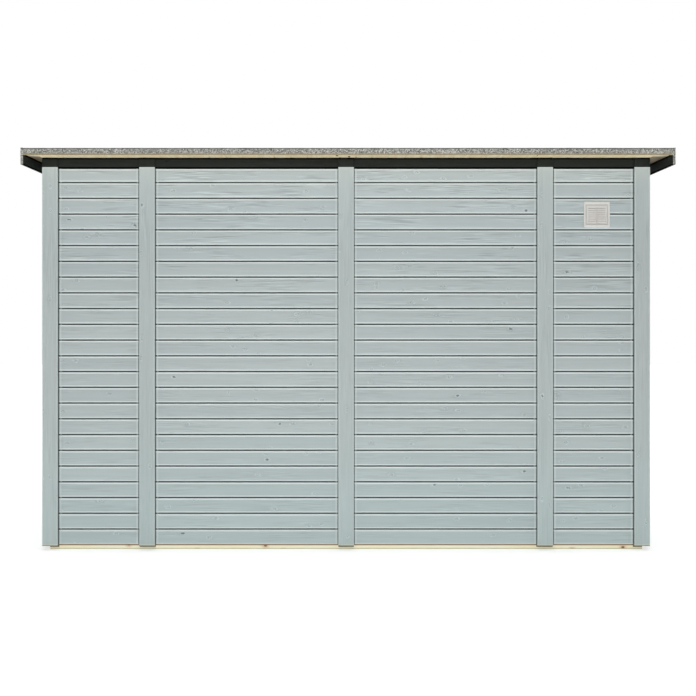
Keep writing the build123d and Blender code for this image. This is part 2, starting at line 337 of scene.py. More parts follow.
def cells(vector, scale=1.0, channel="Red", flat=False):
    # How far a place is from the middle of its cell, and a number that the cell has to itself.
    dimensions = "2D" if flat else "3D"
    inputs = {"Vector": vector, "Scale": scale}
    found = addNode("TexVoronoi", inputs, feature="F1", voronoi_dimensions=dimensions)
    own = addNode("SeparateColor", {"Color": given(found, "Color")})
    return given(found, "Distance"), given(own, channel)


def perBoard(place, moved, boardSize, reach):
    # Each board has a number to itself, and its own stretch of the pattern.
    cell = vectorNode("SNAP", moved, boardSize)
    seed = addNode("TexWhiteNoise", {"Vector": cell}, noise_dimensions="3D")
    shifted = vectorNode("MULTIPLY_ADD", given(seed, "Color"), (reach, reach, reach), place)
    return given(seed, "Value"), shifted


def bent(vector, halo, reach):
    # Knots push the grain aside.
    push = given(addNode("CombineXYZ", {"X": halo, "Y": halo, "Z": halo}))
    return vectorNode("MULTIPLY_ADD", push, (reach, reach, reach), vector)


def flatPlace(vector):
    # The same pattern on walls that face either way: X and Y together, then Z.
    along = axisOf(vector, "X") + axisOf(vector, "Y")
    return given(addNode("CombineXYZ", {"X": along, "Y": axisOf(vector, "Z")}))


def belowDeck(place):
    # How far a place lies below the roof deck's underside.
    return (axisOf(place, "Y") - deckLow.y) * slope + deckLow.z - axisOf(place, "Z")


def besideStrips(place, axis, middle, spans):
    # How far a place lies outside the nearest strip. spans are (middle, half width), the same both
    # ways. Strips far from the middle count as a little wider outwards, so the painted shade
    # beside them reaches a little further.
    offset = absolute(axisOf(place, axis) - middle)
    gaps = []
    for centre, half in spans:
        outer = offset - (centre + half + 0.0033 * centre)
        gaps.append(mathNode("MAXIMUM", outer, (centre - half) - offset))
    return smallest(gaps)


def linear(red, green, blue):
    # A colour as read from a picture, 0 to 255, for a shader's colour socket.
    def one(value):
        value = value / 255
        return value / 12.92 if value <= 0.04045 else ((value + 0.055) / 1.055) ** 2.4
    return (one(red), one(green), one(blue), 1.0)


# Boards and strips, whose places the paint follows too

cladding = {
    "course": 0.0916,  # height of a board with its channel
    "firstGroove": 0.1190,
    "channel": 0.0085,
    "channelDeep": 0.010,
    "lip": 0.003,
    "foot": rearLow.z,
    "uneven": 0.0004,
    "jointGap": 0.002,
    "elementWide": 1.154,
}
strips = {"wide": 0.09, "ease": 0.0022, "border": 0.008, "foot": stripLow.z}
wide = cladding["elementWide"]
corner = strips["wide"] / 2
butt = strips["wide"] - stripThick  # what shows of a side wall's corner strip

# Where strips stand on a wall: its axis, its middle, and (offset, half width) of the strips
rearCorners = ("X", middleX, [(0.0, corner), (wide, corner), (outerX - corner, corner)])
frontCorners = ("X", middleX, [(outerX - corner, corner)])
sideCorners = ("Y", 0.0, [(0.0, corner), (-rearLow.y - butt / 2, butt / 2)])


# Paint

paint = {  # tone of the paint, its tone in a knot's pit, and its gloss
    "wall": (linear(181, 191, 191), linear(96, 106, 104), 0.3),
    "strip": (linear(181, 191, 190), linear(118, 128, 126), 0.3),
    "dark": (linear(34, 38, 35), linear(24, 26, 25), 0.12),
}
levelGrain = {
    "board": (wide, 1.18, cladding["course"]),
    "start": (-middleX, 0.0, -cladding["firstGroove"]),
    "lines": (0.9, 0.9, 26.0),
    "knots": (13.0, 13.0, 22.0),
    "fibres": (7.0, 7.0, 8.6),
    "patches": (2.8, 2.8, 15.0),
    "streaks": (0.36, 1.0),  # how far the grain stands out at the foot and at the head
}
uprightGrain = {
    "board": (wide / 2, 0.9, 4.0),
    "start": (wide / 4 - middleX, 0.45, 0.0),
    "lines": (26.0, 26.0, 0.9),
    "knots": (22.0, 22.0, 13.0),
    "fibres": (8.6, 8.6, 7.0),
    "patches": (15.0, 15.0, 2.8),
    "streaks": (0.24, 0.46),
}
white = (1, 1, 1, 1)
paintedHighlight = linear(226, 236, 235)  # painted highlight beside edges and strips


def stripMarks(color, place, height, shaded):
    # Painted highlight on the eased arrises, and painted shade on each side face, darker towards
    # the corner with the boards.
    arris, seam = (
        given(addNode("Attribute", {}, place.tree, attribute_name=name), "Fac")
        for name in ("arris", "seam")
    )
    # Painted light from the bright ground on the foot, and a painted shadow where it ends
    foot = strips["foot"]
    return layered(
        color,
        (arris * 0.9, shaded(1.24)),
        (rangeNode(seam, 0.0, 0.5, 0.0, 0.9), shaded(0.15)),
        (rangeNode(height, foot + 0.0120, foot + 0.0095, 0.0, 0.45), linear(216, 220, 194)),
        (rangeNode(height, foot + 0.0050, foot + 0.0030, 0.0, 0.85), linear(88, 84, 64)),
    )


def grooveMarks(color, place, moved):
    # Painted highlights on the eased lips beside each channel, the upper and lower lips lit
    # differently, and painted shade in the channel itself.
    course = cladding["course"]
    half = cladding["channel"] / 2
    level = mathNode("WRAP", axisOf(moved, "Z"), course / 2, -course / 2)
    away = absolute(level)
    lip = rangeNode(away, half + 0.0100, half + 0.0060)
    lip = lip * rangeNode(away, half - 0.001, half + 0.0005)
    lipHighlight = mixColor(rangeNode(level, 0.001, -0.001), paintedHighlight, linear(246, 253, 252))
    # A painted shadow just under the frieze, and a painted highlight line below it
    under = belowDeck(place)
    line = rangeNode(under, bandTall + 0.013, bandTall + 0.008, 0.0, 0.9)
    shadow = rangeNode(under, bandTall + 0.0045, bandTall + 0.0025, 0.0, 0.92)
    return layered(
        color,
        (lip * rangeNode(level, 0.001, -0.001, 0.62, 0.74), lipHighlight),
        (rangeNode(away, half, half - 0.0015) * 0.95, linear(32, 39, 37)),
        (line, linear(250, 255, 254)),
        (shadow, linear(30, 34, 32)),
    )


def cornerMarks(color, place, corners):
    # Painted shade in the corner between the boards and the strips, and a painted highlight beside
    # it.
    gap = besideStrips(place, *corners)
    beside = rangeNode(gap, 0.0055, 0.0085) * rangeNode(gap, 0.0210, 0.0115)
    contact = rangeNode(gap, 0.0060, 0.0030, 0.0, 0.80)
    return layered(color, (beside * 0.42, paintedHighlight), (contact, linear(66, 75, 74)))


def paintMaterial(name, kind, grain=levelGrain, corners=None):
    # Opaque paint on planed timber: the grain and the knots show through as relief.
    tone, pitTone, gloss = paint[kind]
    material, shader, place = newMaterial(name)
    moved = vectorNode("ADD", place, grain["start"])
    ownNumber, shifted = perBoard(place, moved, grain["board"], 7.0)

    # Knots, none of them quite round
    away, chosen = cells(flatPlace(stretched(shifted, grain["knots"])), flat=True)
    away = away + (noiseNode(shifted, 110.0, 1.0) - 0.5) * 0.36
    knotted = mathNode("GREATER_THAN", chosen, 0.89)
    halo = rangeNode(away, 0.46, 0.10) * knotted
    pit = rangeNode(away, 0.12, 0.06) * mathNode("GREATER_THAN", chosen, 0.992)
    ringArea = rangeNode(away, 0.27, 0.19) * knotted
    rings = mathNode("PINGPONG", away, 0.10) * 10.0 * ringArea
    paleRings = mathNode("SUBTRACT", ringArea, rings, clamp=True)

    # Growth lines, then fibres that stand out in patches
    bentPlace = bent(stretched(shifted, grain["lines"]), halo, 0.8)
    growth = noiseNode(bentPlace, 1.0, 2.0, 0.5, 0.6)
    lines = mathNode("PINGPONG", growth * 6.0, 1.0)
    fibres = noiseNode(stretched(bentPlace, grain["fibres"]), 1.0, 1.0, 0.4)
    patches = noiseNode(stretched(shifted, grain["patches"]), 1.0, 2.0)
    patches = mathNode("MAXIMUM", rangeNode(patches, 0.45, 0.60), halo * 0.4)
    relief = fibres * (patches + 0.15) + lines * 0.12 + rings * 0.5 - pit

    def shaded(scale):
        return tuple(min(1.0, part * scale) for part in tone[:3]) + (1.0,)

    # Each board has a tone of its own, and the grain stands out more towards the wall's head
    color = mixColor(rangeNode(lines, 0.0, 1.0), shaded(0.975), shaded(1.025))
    boardTone = mixColor(ownNumber, (0.965, 0.965, 0.965, 1), (1.03, 1.025, 1.015, 1))
    color = mixColor(1.0, color, boardTone, "MULTIPLY")
    height = axisOf(place, "Z")
    streaky = rangeNode(height, 1.15, 2.05, *grain["streaks"])
    cloudy = noiseNode(place, 2.2, 2.0)
    color = layered(
        color,
        (rangeNode(fibres, 0.47, 0.37) * patches * streaky, shaded(0.72)),
        (rangeNode(fibres, 0.53, 0.63) * patches * streaky, shaded(1.24)),
        (rings * 0.85, shaded(0.66)),
        (paleRings * 0.85, shaded(1.30)),
        (rangeNode(cloudy, 0.35, 0.7, 0.0, 0.25), shaded(1.05)),
        (pit * 0.8, pitTone),
    )

    # Painted light: the wall's foot is a little lighter and bluer, its head a little lighter, as
    # the light falls.
    paintedFootLight = mixColor(rangeNode(height, 1.0, 0.1), white, (1.03, 1.085, 1.09, 1))
    paintedHeadLight = mixColor(rangeNode(height, 1.5, 2.15), white, (1.05, 1.06, 1.08, 1))
    color = mixColor(1.0, mixColor(1.0, color, paintedFootLight, "MULTIPLY"), paintedHeadLight, "MULTIPLY")
    if grain is uprightGrain:
        color = stripMarks(color, place, height, shaded)
    if kind == "wall":
        color = grooveMarks(color, place, moved)
    if corners:
        color = cornerMarks(color, place, corners)
    if kind == "dark":
        # Painted shade under the deck and along the lower edge
        under = belowDeck(place)
        low = rangeNode(under, bandTall - 0.009, bandTall - 0.006, 0.0, 0.95)
        paintedShade = mathNode("MAXIMUM", low, rangeNode(under, 0.012, 0.006, 0.0, 0.85))
        color = mixColor(paintedShade, color, linear(4, 5, 3))
        gloss = rangeNode(paintedShade, 0.0, 1.0, gloss, 0.0)
    coat(shader, color, rangeNode(fibres, 0.3, 0.7, 0.52, 0.68), relief, 0.7, 0.0030, gloss)
    return material


# Bare timber

timberBoards = {"X": (9.0, 0.094, 0.094), "Y": (0.0942, 9.0, 9.0), "Z": (0.094, 0.094, 9.0)}


def lengthwise(axis, along, across):
    return tuple(along if name == axis else across for name in "XYZ")


def timberMaterial(name, tones, axis, knotShare=0.80, warmShare=0.55, shade=None):
    # Natural planed spruce with growth rings and knots, its grain along the axis.
    # tones are pale and dark. shade is a function that may change the colour at a place.
    pale, dark = tones
    material, shader, place = newMaterial(name)
    moved = vectorNode("SUBTRACT", place, (deckLow.x, 0, 0))
    ownNumber, shifted = perBoard(place, moved, timberBoards[axis], 5.0)
    away, chosen = cells(stretched(shifted, lengthwise(axis, 4.0, 16.0)))
    knotted = mathNode("GREATER_THAN", chosen, knotShare)
    halo = rangeNode(away, 0.38, 0.05) * knotted
    bentPlace = bent(stretched(shifted, lengthwise(axis, 0.9, 22.0)), halo, 1.8)
    lines = mathNode("PINGPONG", noiseNode(bentPlace, 1.0, 2.0, 0.5, 0.5) * 7.0, 1.0)
    fibres = noiseNode(stretched(bentPlace, (8.0, 8.0, 8.0)), 1.0, 3.0, 0.6)
    grain = lines * 0.6 + fibres * 0.4
    warm = tuple(part * scale for part, scale in zip(pale, (0.93, 0.86, 0.76, 1.0)))
    color = layered(
        mixColor(rangeNode(grain, 0.25, 0.95), dark, pale),
        (rangeNode(ownNumber, 0.0, 1.0, 0.0, warmShare), warm),
        (rangeNode(away, 0.16, 0.08) * knotted, linear(112, 72, 40)),
    )
    if shade:
        color = shade(place, color)
    coat(shader, color, rangeNode(fibres, 0.3, 0.7, 0.54, 0.70), grain, 0.4, 0.0008, 0.3)
    return material


def bearerShade(place, color):
    # A few brown knots, a painted shadow under the boards' foot, a greenish line where the timber
    # meets the ground, and a painted shadow line under the strips of the rear wall.
    away, chosen = cells(flatPlace(stretched(place, (10.0, 10.0, 15.0))), flat=True)
    knotted = mathNode("GREATER_THAN", chosen, 0.55)
    height = axisOf(place, "Z")
    under = rangeNode(besideStrips(place, *rearCorners), 0.001, -0.001, 0.0, 0.9)
    under = under * rangeNode(axisOf(place, "Y"), 0.1, -0.1)
    line = rangeNode(height, strips["foot"] - 0.0120, strips["foot"] - 0.0105)
    return layered(
        color,
        (rangeNode(away, 0.34, 0.06, 0.0, 0.55) * knotted, linear(214, 158, 104)),
        (rangeNode(away, 0.12, 0.06, 0.0, 0.9) * knotted, linear(126, 78, 44)),
        (rangeNode(height, 0.0190, 0.0245, 0.0, 0.95), linear(146, 124, 98)),
        (rangeNode(height, 0.0060, 0.0040, 0.0, 0.85), linear(186, 182, 146)),
        (under * line, linear(104, 98, 76)),
    )


def deckShade(place, color):
    # Painted shade: darker beside the side walls, where the deck's underside gets little light.
    outside = rangeNode(absolute(axisOf(place, "X") - middleX), outerX - 0.005, outerX + 0.005)
    inward = rangeNode(absolute(axisOf(place, "Y")), -stripLow.y + 0.09, -stripLow.y + 0.01)
    return mixColor(outside * inward * 0.9, color, linear(92, 78, 54))


# Felt, plastic and iron

felt = {
    "sheets": 3,
    "thick": 0.0035,
    "lap": 0.10,
    "lapFades": 0.03,
    "skirt": 0.004,
    "skirtEase": 0.0018,
    "fold": 0.004,
    "overDeck": 0.11,
    "fineness": 5,
    "ripple": (0.0011, 0.16),  # strength and size
    "edgeRipple": (0.0016, 0.05),
    "edgeCuts": 140,
    "skirtCuts": 60,
}
feltBare = (feltHigh.y - feltLow.y) / felt["sheets"]  # what shows of each length


def feltMaterial():
    # Mineral granules pressed into bitumen: pale and dark grains, with broad patches between.
    material, shader, place = newMaterial("mineral_felt")
    grainTone = cells(place, 380.0, "Green")[1]
    clumpTone = cells(place, 170.0)[1]
    speck = noiseNode(place, 150.0, 2.0, 0.6)
    value = grainTone * 0.35 + clumpTone * 0.4 + rangeNode(speck, 0.3, 0.7) * 0.25
    ramp = addNode("ValToRGB", {"Fac": value})
    stops = ramp.color_ramp.elements
    stops.new(0.5)
    tones = ((0.18, (74, 75, 72)), (0.5, (160, 160, 152)), (0.85, (238, 238, 230)))
    for stop, (position, tone) in zip(stops, tones):
        stop.position = position
        stop.color = linear(*tone)
    patches = noiseNode(place, 1.6, 3.0, 0.6)

    # Bitumen squeezed out along the laps
    depth = axisOf(place, "Y")
    laps = [feltLow.y + index * feltBare - 0.004 for index in range(1, felt["sheets"])]
    reach = rangeNode(noiseNode(place, 9.0, 3.0, 0.6), 0.3, 0.7, 0.005, 0.013)
    bleed = smallest([absolute(depth - lap) for lap in laps]) - reach

    # The turned-down edges: worn darker along the fold, stained by the deck along the bottom
    under = belowDeck(place)
    flange = rangeNode(absolute(depth), feltHigh.y - 0.0085, feltHigh.y - 0.0065)
    flange = flange * rangeNode(absolute(axisOf(place, "X")), deckHigh.x, deckHigh.x - 0.002)
    color = layered(
        given(ramp, "Color"),
        (rangeNode(patches, 0.35, 0.7, 0.0, 0.25), linear(132, 134, 130)),
        (rangeNode(bleed, 0.003, -0.003, 0.0, 0.85), linear(40, 41, 41)),
        (rangeNode(under, -0.0275, -0.0300, 0.0, 0.75) * flange, linear(112, 113, 110)),
        (rangeNode(under, -0.0080, 0.0020, 0.0, 0.80) * flange, linear(168, 152, 116)),
    )
    coat(shader, color, 0.9, grainTone * 0.6 + clumpTone, 0.6, 0.0012, 0.2)
    return material


def plasticMaterial(name, tone, dusty, steps=(), bar=None):
    # Moulded plastic. steps are (from, to, share) in depth: painted shade, darker inwards into the
    # recesses.
    # bar is (middle, half width, front plane, half height) of an upright bar, a little darker.
    material, shader, place = newMaterial(name)
    dust = noiseNode(place, 38.0, 3.0, 0.6)
    depth = axisOf(place, "Y")
    color = mixColor(rangeNode(dust, 0.35, 0.75, 0.0, 0.5), tone, dusty)
    # Painted shade, deeper in the recesses
    for near, far, share in steps:
        color = mixColor(rangeNode(depth, near, far, 0.0, share), color, linear(170, 162, 157))
    if bar:
        middle, half, face, tall = bar
        onBar = rangeNode(absolute(axisOf(place, "X") - middle.x), half + 0.0008, half)
        onBar = onBar * rangeNode(depth, face + 0.0018, face + 0.0012)
        height = absolute(axisOf(place, "Z") - middle.z)
        onBar = onBar * rangeNode(height, tall, tall - 0.003, 0.0, 0.30)
        color = mixColor(onBar, color, linear(150, 136, 134))
    roughness = rangeNode(dust, 0.3, 0.7, 0.34, 0.48)
    coat(shader, color, roughness, noiseNode(place, 900.0, 2.0), 0.12, 0.0004)
    return material


def ironMaterial():
    # Black powder coat with a fine orange-peel skin.
    material, shader, place = newMaterial("powder_coated_iron")
    worn = noiseNode(place, 30.0, 4.0, 0.65)
    color = mixColor(rangeNode(worn, 0.55, 0.8, 0.0, 0.5), linear(30, 30, 31), linear(58, 57, 56))
    roughness = rangeNode(worn, 0.3, 0.7, 0.36, 0.52)
    coat(shader, color, roughness, noiseNode(place, 420.0, 2.0), 0.25, 0.0003)
    return material


wallPaint = paintMaterial("wall_paint", "wall", corners=rearCorners)
frontPaint = paintMaterial("front_wall_paint", "wall", corners=frontCorners)
sidePaint = paintMaterial("side_wall_paint", "wall", corners=sideCorners)
leafPaint = paintMaterial("door_leaf_paint", "wall")
levelPaint = paintMaterial("level_strip_paint", "strip")
stripPaint = paintMaterial("strip_paint", "strip", uprightGrain)
darkPaint = paintMaterial("dark_trim_paint", "dark")
timber = {  # pale and dark tones
    "frame": (linear(226, 200, 158), linear(190, 154, 106)),
    "floor": (linear(228, 204, 162), linear(194, 160, 112)),
    "sill": (linear(255, 252, 232), linear(250, 238, 204)),
    "bearer": (linear(255, 252, 230), linear(255, 246, 210)),
    "deck": (linear(254, 243, 213), linear(242, 223, 184)),
}
frameTimber = timberMaterial("frame_timber", timber["frame"], "Z")
plateTimber = timberMaterial("plate_timber", timber["frame"], "X")
joistTimber = timberMaterial("joist_timber", timber["frame"], "Y")
floorTimber = timberMaterial("floor_timber", timber["floor"], "Y")
sillTimber = timberMaterial("sill_timber", timber["sill"], "X", 0.84)
bearerTimber = timberMaterial("bearer_timber", timber["bearer"], "X", 0.90, 0.10, bearerShade)
deckTimber = timberMaterial("deck_timber", timber["deck"], "Y", 0.86, 0.38, deckShade)
mineralFelt = feltMaterial()

vent = {"middle": (ventLow + ventHigh) / 2, "hole": 0.112, "barHalf": 0.003, "barTall": 0.055}
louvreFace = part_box("vent_louvres")[0].y
ventPlastic = plasticMaterial(
    "vent_plastic",
    linear(225, 226, 222),
    linear(214, 211, 206),
    [
        # painted shade: a little on the field inside the rim, more deep in the recess
        (ventLow.y + 0.0010, ventLow.y + 0.0018, 0.09),
        (ventHigh.y - 0.0050, ventHigh.y - 0.0038, 0.36),
    ],
    (vent["middle"], vent["barHalf"], ventLow.y, vent["barTall"]),
)
louvrePlastic = plasticMaterial(
    "louvre_plastic",
    linear(255, 254, 251),
    linear(248, 245, 241),
    # painted shade between the blades
    [(louvreFace + 0.002, louvreFace + 0.006, 0.72)],
)
doorIron = ironMaterial()
print("materials made")


# Walls

def wall(name, outward, face, low, high):
    # A wall by the way it looks, the plane of its boards' outer face, and its two ends.
    outward = Vector(outward)
    axis = 0 if outward.y else 1  # it runs along X or along Y
    sign = outward.x + outward.y
    return {
        "name": name, "outward": outward, "axis": axis, "sign": sign,
        "face": face, "low": low, "high": high,
    }


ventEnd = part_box("rear_vent_panel")[1].x
frontLow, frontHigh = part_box("front_wall_boards")
rightLow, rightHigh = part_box("right_wall_boards")
leftLow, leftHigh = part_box("left_wall_boards")
rear = wall("rear", (0, -1, 0), rearLow.y, 2 * middleX - ventEnd, ventEnd)
front = wall("front", (0, 1, 0), frontHigh.y, frontLow.x, frontHigh.x)
left = wall("left", (-1, 0, 0), leftLow.x, leftLow.y, leftHigh.y)
right = wall("right", (1, 0, 0), rightHigh.x, rightLow.y, rightHigh.y)


def onWall(side, start, end, z0, z1, behind, proud):
    # Corners of a block that runs along a wall, from behind its face to proud of it.
    sign = side["sign"]
    planes = sorted((side["face"] - sign * behind, side["face"] + sign * proud))
    if side["axis"] == 0:
        return Vector((start, planes[0], z0)), Vector((end, planes[1], z1))
    return Vector((planes[0], start, z0)), Vector((planes[1], end, z1))


def depthOn(side, point):
    # How far a point lies in front of the wall's face.
    return (point[1 - side["axis"]] - side["face"]) * side["sign"]


def boardedElement(side, start, end, foot, head, shuffle):
    # One wall element of tongued boards: a board is shaped once, then laid up course by course.
    c = cladding
    z0 = c["firstGroove"] - c["course"] + c["channel"] / 2
    z1 = c["firstGroove"] - c["channel"] / 2
    skip = max(0, math.floor((foot - z0) / c["course"]))
    z0 += skip * c["course"]
    z1 += skip * c["course"]
    low, high = onWall(side, start, end, z0, z1, boardThick, 0)
    piece = addBlock("board", low, high)

    def lipEdge(mid, way):
        return depthOn(side, mid) > -0.001 and abs(way.z) < 0.5

    easeEdges(piece, c["lip"], lipEdge, 3)
    # The tongue goes up behind the channel
    editing(piece, whole=True)
    seat = (low if side["sign"] > 0 else high) + side["outward"] * (boardThick - c["channelDeep"])
    bpy.ops.mesh.bisect(plane_co=seat, plane_no=side["outward"])
    behind = -c["channelDeep"]
    pickFaces(piece, lambda mid, normal: normal.z > 0.9 and depthOn(side, mid) < behind)
    pullOut((0, 0, c["channel"]))
    bpy.ops.mesh.select_all(action="SELECT")
    shift = 0.0
    for _ in range(math.ceil((head - z1) / c["course"])):
        wanted = shuffle.uniform(-c["uneven"], 0.0)
        copyOn(side["outward"] * (wanted - shift) + Vector((0, 0, c["course"])))
        shift = wanted
    doneEditing()
    if foot > z0:
        cutOff(piece, (0, 0, foot), (0, 0, -1))
    return piece


def boardedWall(side, spans, name=None):
    # spans are (start, end, foot, head) of the elements. One with no head goes up to the roof.
    shuffle = random.Random(name or side["name"])
    pieces = []
    gap = cladding["jointGap"] / 2
    for start, end, foot, head in spans:
        top = head or deckUnder(cadHigh.y)
        element = boardedElement(side, start + gap, end - gap, foot, top, shuffle)
        if head:
            cutOff(element, (0, 0, head), (0, 0, 1))
        else:
            sawToRoof(element)
        pieces.append(element)
    return joinPieces(pieces, name or side["name"] + "_boards")


def boreHole(piece, low, high):
    # The hole goes through two courses, so it is cut into the single boards.
    cutter = addBlock("cutter", low, high)
    makeActive(piece)
    bpy.ops.mesh.separate(type="LOOSE")
    boards = list(bpy.context.selected_objects)
    for board in boards:
        heights = [point.co.z for point in board.data.vertices]
        reach = [point.co.x for point in board.data.vertices]
        if max(heights) < low[2] or min(heights) > high[2]:
            continue
        if max(reach) < low[0] or min(reach) > high[0]:
            continue
        makeActive(board)
        hole = board.modifiers.new("vent_hole", "BOOLEAN")
        hole.operation = "DIFFERENCE"
        hole.solver = "EXACT"
        hole.object = cutter
        bpy.ops.object.modifier_apply(modifier=hole.name)
    bpy.data.objects.remove(cutter)
    return joinPieces(boards, piece.name)


foot = cladding["foot"]
rearEdges = [rear["low"], middleX - wide, middleX, middleX + wide, rear["high"]]
rearBoards = boardedWall(rear, [(a, b, foot, None) for a, b in zip(rearEdges, rearEdges[1:])])
holeHalf = Vector((vent["hole"] / 2, 0.05, vent["hole"] / 2))
holeMiddle = Vector((vent["middle"].x, rear["face"], vent["middle"].z))
rearBoards = boreHole(rearBoards, holeMiddle - holeHalf, holeMiddle + holeHalf)
finishPiece(rearBoards, wallPaint, ("rear_wall_boards", "rear_vent_panel"))
print("rear wall boarded")

for side in (left, right):
    middle = (side["low"] + side["high"]) / 2
    spans = [(side["low"], middle, foot, None), (middle, side["high"], foot, None)]
    boards = boardedWall(side, spans)
    finishPiece(boards, sidePaint, (side["name"] + "_wall_boards",))
print("side walls boarded")

frontSpans = [
    (front["low"], jambLow.x, foot, None),
    (jambHigh.x, front["high"], foot, None),
    (jambLow.x, jambHigh.x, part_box("front_over_door_panel")[0].z, None),
]
frontNodes = ("front_wall_boards", "front_over_door_panel")
finishPiece(boardedWall(front, frontSpans), frontPaint, frontNodes)

leafLow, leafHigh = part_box("door_leaves")
leafGap = 0.002
leafSpans = [
    (leafLow.x, middleX - leafGap, leafLow.z, leafHigh.z),
    (middleX + leafGap, leafHigh.x, leafLow.z, leafHigh.z),
]
leafBoards = boardedWall(front, leafSpans, "door_leaf_boards")
finishPiece(leafBoards, leafPaint, ("door_leaves",))
print("front wall boarded")


# Upright strips, and the dark frieze over them

def markArris(piece, side):
    # Marks the border of the front face, where a highlight is painted, and the edges that lie
    # against the boards, where shade is painted.
    arris = piece.data.attributes.new("arris", "FLOAT", "POINT")
    seam = piece.data.attributes.new("seam", "FLOAT", "POINT")
    along = [point.co[side["axis"]] for point in piece.data.vertices]
    start = min(along)
    end = max(along)
    for index, point in enumerate(piece.data.vertices):
        nearEdge = min(along[index] - start, end - along[index])
        depth = depthOn(side, point.co)
        onBorder = nearEdge < strips["border"] * 0.7 and depth > stripThick * 0.5
        arris.data[index].value = float(onBorder)
        seam.data[index].value = float(depth < stripThick * 0.5)


def easedBoard(side, start, end, low, high, drop=None):
    # An upright board, its long front edges eased. With a drop its head follows the roof.
    piece = addBlock("strip", *onWall(side, start, end, low, high, 0, stripThick))
    if drop is not None:
        sawToRoof(piece, drop)
    editing(piece)
    pickFaces(piece, lambda mid, normal: normal.dot(side["outward"]) > 0.9)
    bpy.ops.mesh.inset(thickness=strips["border"])
    doneEditing()

    def longEdge(mid, way):
        along = mid[side["axis"]]
        atEnd = min(abs(along - start), abs(along - end)) < 0.001
        return atEnd and depthOn(side, mid) > stripThick - 0.001 and abs(way.z) > 0.5

    easeEdges(piece, strips["ease"], longEdge, 3)
    markArris(piece, side)
    return piece


frieze = {"ease": 0.0015}


def friezePiece(side, start, end, high, thick):
    # A short board under the deck, both its long edges along the slope.
    piece = addBlock("frieze", *onWall(side, start, end, 0.0, high, 0, thick))
    easeEdges(piece, frieze["ease"], lambda mid, way: depthOn(side, mid) > thick - 0.001)
    for point in piece.data.vertices:
        point.co.z += deckUnder(point.co.y) - high
    return piece


def longSpans(offsets):
    return [(middleX + x - corner, middleX + x + corner) for x in offsets]


edge = rearLow.y
sideSpans = [(edge, edge + butt), (-corner, corner), (-edge - butt, -edge)]
endOffset = outerX - corner
for side, spans, bandNode in (
    (rear, longSpans((-endOffset, -wide, 0, wide, endOffset)), "rear_frieze_boards"),
    (front, longSpans((-endOffset, endOffset)), "front_frieze_board"),
    (left, sideSpans, "left_frieze_boards"),
    (right, sideSpans, "right_frieze_boards"),
):
    name = side["name"]
    top = deckUnder(cadHigh.y)
    uprights = [easedBoard(side, a, b, strips["foot"], top, blockTall) for a, b in spans]
    whole = joinPieces(uprights, name + "_strips")
    finishPiece(whole, stripPaint, (name + "_cover_strips",))
    blocks = [friezePiece(side, a, b, blockTall, stripThick) for a, b in spans]
    whole = joinPieces(blocks, name + "_blocks")
    finishPiece(whole, darkPaint, (name + "_frieze_blocks",))
    between = [(a, b) for (_, a), (b, _) in zip(spans, spans[1:])]
    bands = [friezePiece(side, a, b, bandTall, bandThick) for a, b in between]
    whole = joinPieces(bands, name + "_band")
    finishPiece(whole, darkPaint, (bandNode,))
print("strips and frieze made")

# Casings round the double door
casingLow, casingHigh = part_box("door_casings")
casings = {"wide": 0.09, "reveal": 0.004, "joint": 0.001}
casingX = (casingLow.x + casings["wide"], casingHigh.x - casings["wide"])
uprights = [
    easedBoard(front, casingLow.x, casingX[0], casingLow.z, casingHigh.z),
    easedBoard(front, casingX[1], casingHigh.x, casingLow.z, casingHigh.z),
]
finishPiece(joinPieces(uprights, "casing_uprights"), stripPaint, ("door_casings",))
low, high = onWall(
    front,
    casingX[0] + casings["joint"],
    casingX[1] - casings["joint"],
    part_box("door_head")[0].z + casings["reveal"],
    casingHigh.z,
    0,
    stripThick,
)
casingHead = addBlock("casing_head", low, high)
proud = stripThick - 0.001
ease = strips["ease"]
easeEdges(casingHead, ease, lambda mid, way: depthOn(front, mid) > proud and abs(way.x) > 0.5, 3)
finishPiece(casingHead, levelPaint)
print("casings made")

# Dome heads of the coach bolts and screws through the hinges
hingeLow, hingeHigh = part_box("door_hinges")
bolts = {
    "radius": 0.0075,
    "high": 0.0035,
    "rowInset": 0.038,
    "onStrap": (0.045, 0.135, 0.225, 0.28),  # from the pin
    "plateRise": 0.026,
    "plateOut": 0.036,
    "ironThick": 0.004,
    "pinInset": 0.028,  # from the jamb
}


def boltHead(x, y, z, radius):
    # A low dome: a disc whose top is drawn in and lifted twice, then turned to look along +Y.
    high = bolts["high"]
    piece = addDisc("bolt_head", 12, radius, high * 0.4, high * 0.2)
    for share in (0.35, 0.45):
        editing(piece)
        pickFaces(piece, lambda mid, normal: normal.z > 0.9)
        bpy.ops.mesh.inset(thickness=radius * share * 0.8)
        bpy.ops.transform.translate(value=(0, 0, high * 0.3))
        doneEditing()
    for point in piece.data.vertices:
        place = point.co.copy()
        point.co = Vector((x + place.x, y + place.z, z - place.y))
    return piece


def hingeBolts():
    low = hingeLow.z + bolts["rowInset"]
    high = hingeHigh.z - bolts["rowInset"]
    strapFace = front["face"] + bolts["ironThick"]
    plateFace = strapFace + stripThick
    pin = (jambHigh.x - jambLow.x) / 2 - bolts["pinInset"]
    heads = []
    for sign in (-1, 1):
        for z in (low, (low + high) / 2, high):
            for inward in bolts["onStrap"]:
                x = middleX + sign * (pin - inward)
                heads.append(boltHead(x, strapFace, z, bolts["radius"]))
            for rise in (-bolts["plateRise"], bolts["plateRise"]):
                x = middleX + sign * (pin + bolts["plateOut"])
                heads.append(boltHead(x, plateFace, z + rise, bolts["radius"] * 0.8))
    return joinPieces(heads, "hinge_bolts")


finishPiece(hingeBolts(), doorIron, smooth=40)
print("hinge bolts made")


# Roof deck and side boards

roof = {"boards": 39, "vee": 0.004, "deckGap": 0.0006, "fasciaEase": 0.0015}


